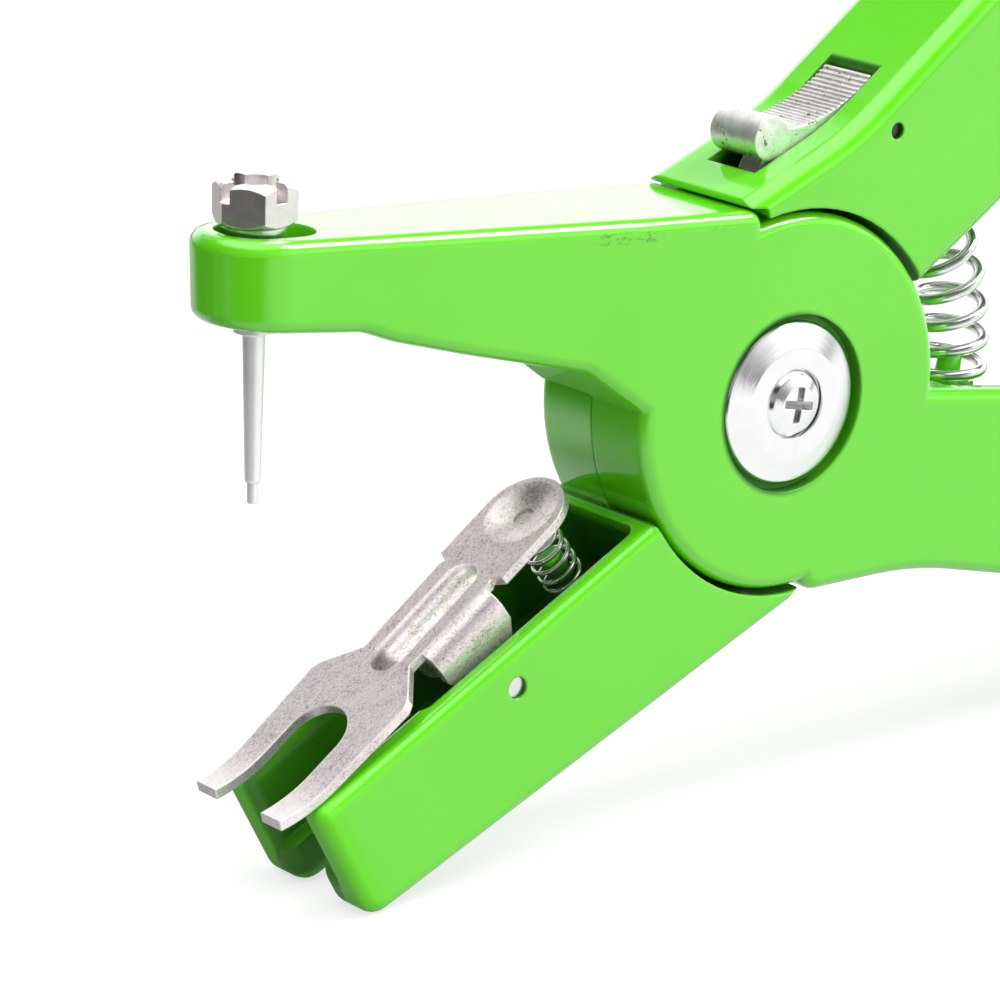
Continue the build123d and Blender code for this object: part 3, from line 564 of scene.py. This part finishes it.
nickelSheet = {
    "stops": [(0.39, (0.38, 0.325, 0.33)), (0.48, (0.82, 0.72, 0.73)), (0.58, (0.97, 0.90, 0.905))],
    "bright": (0.99, 0.945, 0.95),
    "blotch": {"scale": 260, "detail": 5, "rough": 0.65, "warp": 0.4},
    "grain": {"scale": 4800, "detail": 2, "rough": 0.7},
    "flecks": {"scale": 3000, "detail": 2, "rough": 0.6, "stretch": (1.5, 1, 1), "warp": 0.8},
    "drawn": {"scale": 1500, "detail": 3, "rough": 0.6, "stretch": (5, 1, 1), "warp": 0.2},
    "tone": {"blotch": 0.22, "grain": 0.36, "flecks": 0.36, "drawn": 0.06},
    "start": (-36.9, 0, -10.5),  # mm, where the tail's dish is
    "tilt": -34.8,
    "cornerReach": 0.0007,
    "tines": (-51.0, -46.0),
    "tineWear": 0.75,
    # lines that the tag scratches: the point that each goes through, its slope, width and length
    "scratches": [{"x": -31.5, "y": -2.5, "slope": 0.5, "width": 0.08, "long": (-32.5, 3.5)},
                  {"x": -31.0, "y": -2.1, "slope": 0.25, "width": 0.07, "long": (-32.5, 5.5)}],
    "scratchWear": 0.7,
    "faceTop": (-0.2, 0.0),
    "plainWear": 0.55,
    "blotchWear": 0.45,
    "roughness": 0.33,
    "roughBlotch": -0.14,
    "roughGrain": 0.12,
    "height": {"grain": 0.6, "flecks": 0.4, "blotch": 0.7},
    "depth": 0.00005,
    "edge": 0.0003,
}


def makeNickelSheet():
    # plated spring sheet, speckled where it was rolled and bright where the tag slides
    about = nickelSheet
    paint = Paint("nickelSheet", {"Metallic": 0.78, "Specular IOR Level": 0.5})
    blotch, grain = paint.noise(**about["blotch"]), paint.noise(**about["grain"])
    flecks, drawn = paint.noise(**about["flecks"]), paint.noise(**about["drawn"])
    share = about["tone"]
    tone = share["blotch"] * blotch + share["grain"] * grain
    tone = tone + share["flecks"] * flecks + share["drawn"] * drawn
    sheet = paint.node("ShaderNodeValToRGB", {"stops": about["stops"]}, {"Fac": tone})
    x, y, z = paint.axes(place(*about["start"]), about["tilt"])
    worn = paint.edges(about["cornerReach"]) + about["tineWear"] * x.below(*about["tines"])
    lines = 0
    for line in about["scratches"]:
        beside = y - line["y"] + line["slope"] * (x - line["x"])
        lines = beside.near(0, line["width"]) * x.near(*line["long"]) + lines
    worn = (worn + about["scratchWear"] * lines * z.above(*about["faceTop"])).capped()
    worn = worn * (about["plainWear"] + about["blotchWear"] * blotch)
    paint.colour(paint.mix(worn, sheet, about["bright"]))
    paint.roughness(about["roughness"] + about["roughBlotch"] * blotch + about["roughGrain"] * grain)
    share = about["height"]
    height = share["grain"] * grain + share["flecks"] * flecks + share["blotch"] * blotch
    paint.relief(height, about["depth"], about["edge"])
    return paint.material


zincCasting = {
    "dark": (0.78, 0.765, 0.74),
    "light": (1.0, 0.985, 0.975),
    "pit": (0.12, 0.12, 0.11),
    "neckShade": (0.10, 0.11, 0.09),
    "pits": (1200, 2, 0.5),
    "pitsFrom": (0.62, 0.68),
    "pitGroups": (260, 2, 0.5),
    "groupsFrom": (0.42, 0.55),
    "pitTone": 0.8,
    "cloud": (620, 5, 0.7),
    "cloudFrom": (0.3, 0.7),
    "neck": {"x": (4.0, 6.0), "z": (31.0, 32.3), "tone": 0.85},  # mm from the main pivot, painted shade under the head
    "roughness": 0.32,
    "roughCloud": 0.18,
    "roughPits": 0.2,
    "cloudHeight": 0.8,
    "pitHeight": -0.9,
    "depth": 0.00006,
    "edge": 0.0004,
}


def makeZincCasting():
    # tumbled die casting with a few open pits
    about = zincCasting
    paint = Paint("zincCasting", {"Metallic": 0.8, "Specular IOR Level": 0.5})
    pits = paint.noise(*about["pits"]).above(*about["pitsFrom"])
    pits = pits * paint.noise(*about["pitGroups"]).above(*about["groupsFrom"])
    cloud = paint.noise(*about["cloud"])
    tone = paint.mix(cloud.above(*about["cloudFrom"]), about["dark"], about["light"])
    x, _, z = paint.axes(pivot)
    neck = x.below(*about["neck"]["x"]) * z.below(*about["neck"]["z"])
    # painted shade on the neck under the head
    tone = paint.mix(about["neck"]["tone"] * neck, tone, about["neckShade"])
    paint.colour(paint.mix(pits * about["pitTone"], tone, about["pit"]))
    paint.roughness(about["roughness"] + about["roughCloud"] * cloud + about["roughPits"] * pits)
    paint.relief(about["cloudHeight"] * cloud + about["pitHeight"] * pits, about["depth"], about["edge"])
    return paint.material


steelSurface = {
    "cloud": (700, 3, 0.6),
    "fine": (5200, 2, 0.6),
    "roughCloud": 0.12,
    "roughFine": 0.04,
    "depth": 0.000008,
    "edge": 0.0002,
}
steelKinds = {
    "plainSteel": {"light": (0.90, 0.90, 0.90), "dark": (0.74, 0.74, 0.74), "roughness": 0.12},
    # near black latch pin: painted shade in its hole
    "shadedPinSteel": {"light": (0.14, 0.14, 0.13), "dark": (0.05, 0.05, 0.05), "roughness": 0.30},
    "groundSteel": {"light": (1.0, 0.995, 1.0), "dark": (0.96, 0.955, 0.96), "roughness": 0.34,
                    "metallic": 0.6},
    "nickelPlate": {"light": (0.98, 0.94, 0.94), "dark": (0.70, 0.65, 0.64), "roughness": 0.26},
}


def makeSteel(name):
    about, kind = steelSurface, steelKinds[name]
    paint = Paint(name, {"Metallic": kind.get("metallic", 1.0), "Specular IOR Level": 0.5})
    cloud = paint.noise(*about["cloud"])
    fine = paint.noise(*about["fine"])
    paint.colour(paint.mix(cloud, kind["dark"], kind["light"]))
    paint.roughness(kind["roughness"] + about["roughCloud"] * cloud + about["roughFine"] * fine)
    paint.relief(fine, about["depth"], about["edge"])
    return paint.material


# Springs. Lengths in mm, angles in degrees, from the main pivot.

returnSpring = {"arc": 38.0, "low": -11.5, "high": 41.0, "radius": 4.75, "wire": 0.8, "turns": 8.0,
                "clearance": 0.1}
clipSpring = {"foot": (-36.9, 0, -10.5), "slope": 34.8, "low": -13.05, "high": -2.83, "radius": 2.8,
              "wire": 0.325, "turns": 6.0}
coilSteps = 14  # control points in a turn
endPinch = 0.022  # how far the end turns lie closer, as a share of the length
wireSides = {"bevel": 4, "along": 3, "smooth": 50}


def woundWire(name, about, point):
    # round wire through point(rise, turn, size), closed up a little at both ends
    total = int(about["turns"] * coilSteps) + 1
    bpy.ops.object.select_all(action="DESELECT")
    bpy.ops.curve.primitive_nurbs_path_add(location=(0, 0, 0))
    wire = bpy.context.object
    wire.name = name
    spline = wire.data.splines[0]
    spline.points.add(total - len(spline.points))
    shrink = (2 + cos(2 * pi / coilSteps)) / 3  # a NURBS line runs inside its points
    for i, knot in enumerate(spline.points):
        fraction = i / (total - 1)
        rise = fraction - endPinch * sin(2 * pi * fraction)
        knot.co = (*point(rise, 2 * pi * about["turns"] * fraction, about["radius"] / shrink), 1)
    spline.order_u = 4
    spline.use_endpoint_u = True
    wire.data.bevel_depth = about["wire"] * mm
    wire.data.bevel_resolution = wireSides["bevel"]
    wire.data.resolution_u = wireSides["along"]
    wire.data.use_fill_caps = True
    bpy.ops.object.convert(target="MESH")
    bpy.ops.object.shade_smooth_by_angle(angle=radians(wireSides["smooth"]))
    return wire


def makeReturnSpring(material):
    about = returnSpring
    margin = degrees((about["wire"] + about["clearance"]) / (about["arc"] - about["radius"]))
    low, high = about["low"] + margin, about["high"] - margin

    def point(rise, turn, size):
        angle = radians(low + (high - low) * rise)
        out = about["arc"] + size * cos(turn)
        return place(out * cos(angle), size * sin(turn), out * sin(angle))

    spring = woundWire("returnSpringWire", about, point)
    spring.data.materials.append(material)
    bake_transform(spring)
    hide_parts("return_spring")


def makeClipSpring(material):
    about = clipSpring
    slope = radians(about["slope"])
    side, out = Vector((cos(slope), 0, sin(slope))), Vector((-sin(slope), 0, cos(slope)))
    foot = place(*about["foot"])

    def point(rise, turn, size):
        along = side * size * cos(turn) + Vector((0, size * sin(turn), 0))
        return foot + (along + out * (about["low"] + (about["high"] - about["low"]) * rise)) * mm

    spring = woundWire("clipSpringWire", about, point)
    spring.data.materials.append(material)
    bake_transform(spring)
    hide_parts("clip_spring")


def dress(material, *names):
    for name in names:
        for entry in nodes[name].material_slots:
            entry.material = material


def dressNodes():
    chrome = makeChrome()
    steel = makeSteel("plainSteel")
    # the latch pin is dark as painted shade in its hole
    dress(makeSteel("shadedPinSteel"), "latch_pin")
    dress(makeUpperPaint(), "upper_jaw_casting")
    dress(makeLowerPaint(), "lower_jaw_casting")
    dress(chrome, "pivot_front_disc", "pivot_rear_disc", "pivot_screw")
    dress(steel, "pivot_bushing", "pivot_spring_washer", "pivot_nut", "needle_collar", "clip_pin",
          "clip_spring", "return_spring", "latch_spring")
    dress(makeSteel("groundSteel"), "needle")
    dress(makeSteel("nickelPlate"), "needle_nut")
    dress(makeNickelSheet(), "tag_clip")
    dress(makeZincCasting(), "latch_lever")
    return steel


makeCamera()
makeWorld()
makeFloor()
for lamp in lamps:
    makeLight(lamp)
print("studio ready")
steel = dressNodes()
print("castings and small parts finished")
makeReturnSpring(steel)
makeClipSpring(steel)
print("springs wound")

bpy.context.scene.view_settings.view_transform = "Standard"
